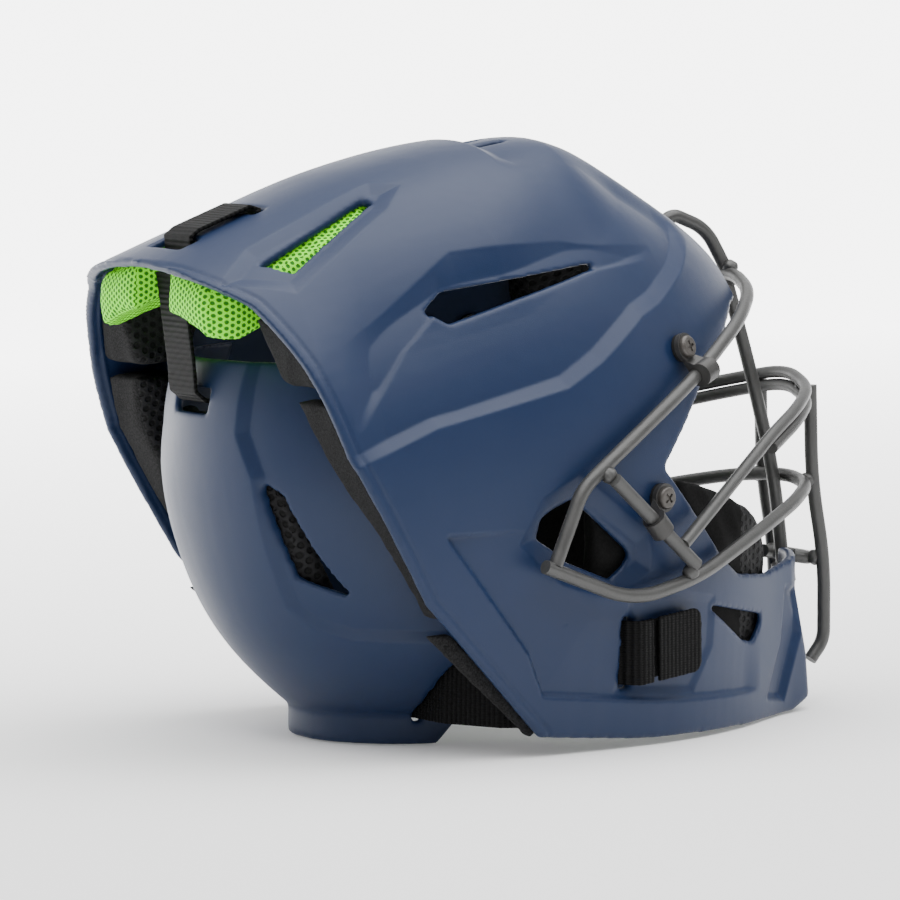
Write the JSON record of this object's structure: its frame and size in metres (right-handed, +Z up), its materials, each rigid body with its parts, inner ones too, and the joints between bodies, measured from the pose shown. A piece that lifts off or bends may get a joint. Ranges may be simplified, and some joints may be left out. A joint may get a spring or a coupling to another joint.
{
  "type": "catcher's helmet and mask",
  "caption": "Hockey-style catcher's helmet: moulded shell with a wire face cage, a back plate on webbing straps that swings open, fabric pads and peel-off cheek tabs.",
  "frame": {"origin": "On the ground plane under the middle of the helmet, on its plane of symmetry.", "axes": "+X is the way the face looks, +Y is the wearer's left, +Z is up."},
  "size_m": [0.3504, 0.2532, 0.2663],
  "materials": {
    "navy_plastic": "satin moulded",
    "graphite_wire": "graphite powder coat",
    "dark_clip": "dark satin",
    "screw_metal": "dark satin",
    "rubber_washer": "matte",
    "lime_mesh": "honeycomb mesh",
    "black_mesh": "spacer mesh over foam",
    "charcoal_foam": "brushed cloth over foam",
    "black_liner": "flat matte liner",
    "black_webbing": "ribbed webbing",
    "hook_and_loop": "hook and loop"
  },
  "bodies": {
    "helmet": {"front_shell": "navy_plastic", "cage_brow_bar": "graphite_wire", "cage_eye_bar_upper": "graphite_wire", "cage_eye_bar_lower": "graphite_wire", "cage_jaw_bar": "graphite_wire", "cage_chin_bar": "graphite_wire", "cage_centre_bar": "graphite_wire", "cage_top_bar": "graphite_wire", "cage_clip_bar_left": "graphite_wire", "cage_clip_bar_right": "graphite_wire", "cage_guard_bar_left": "graphite_wire", "cage_guard_bar_right": "graphite_wire", "temple_clip_left": "dark_clip", "temple_clip_right": "dark_clip", "cheek_clip_left": "dark_clip", "cheek_clip_right": "dark_clip", "chin_clip": "dark_clip", "clip_screws": "screw_metal", "clip_nuts": "screw_metal", "chin_screw": "screw_metal", "chin_nut": "screw_metal", "clip_washers": "rubber_washer", "crown_rear_pad_left": "lime_mesh", "crown_rear_pad_right": "lime_mesh", "crown_front_pad": "black_mesh", "brow_pad": "black_mesh", "chin_pad": "black_mesh", "jaw_pad_left": "black_mesh", "jaw_pad_right": "black_mesh", "side_pad_upper_left": "charcoal_foam", "side_pad_upper_right": "charcoal_foam", "side_pad_lower_left": "charcoal_foam", "side_pad_lower_right": "charcoal_foam", "rim_foam_left": "charcoal_foam", "rim_foam_right": "charcoal_foam", "cheek_pad_left": "black_liner", "cheek_pad_right": "black_liner", "top_strap_outer": "black_webbing", "side_strap_front_left": "black_webbing", "side_strap_front_right": "black_webbing", "loop_patch_left": "hook_and_loop", "loop_patch_right": "hook_and_loop"},
    "top_strap": {"top_strap_drop": "black_webbing"},
    "back": {"back_plate": "navy_plastic", "back_plate_pad": "black_mesh", "side_strap_rear_left": "black_webbing", "side_strap_rear_right": "black_webbing"},
    "tab_left": {"strap_end_left": "black_webbing", "hook_patch_left": "hook_and_loop"},
    "tab_right": {"strap_end_right": "black_webbing", "hook_patch_right": "hook_and_loop"}
  },
  "joints": [
    {"name": "strap_height", "type": "slide", "parent": "helmet", "child": "top_strap", "axis": [0, 0, 1], "range_m": [0, 0.01]},
    {"name": "plate_swing", "type": "hinge", "parent": "top_strap", "child": "back", "pos_m": [-0.1479, 0, 0.153], "axis": [0, 1, 0], "range_deg": [0, 12], "stiffness_Nm_per_rad": 0.6, "springref_deg": -28.65},
    {"name": "tab_left_peel", "type": "hinge", "parent": "helmet", "child": "tab_left", "pos_m": [0.0278, 0.1045, 0.04307], "axis": [-0.0696, 0.083, 0.9941], "range_deg": [0, 100]},
    {"name": "tab_right_peel", "type": "hinge", "parent": "helmet", "child": "tab_right", "pos_m": [0.0278, -0.1045, 0.04307], "axis": [0.0696, 0.083, -0.9941], "range_deg": [0, 100]}
  ]
}
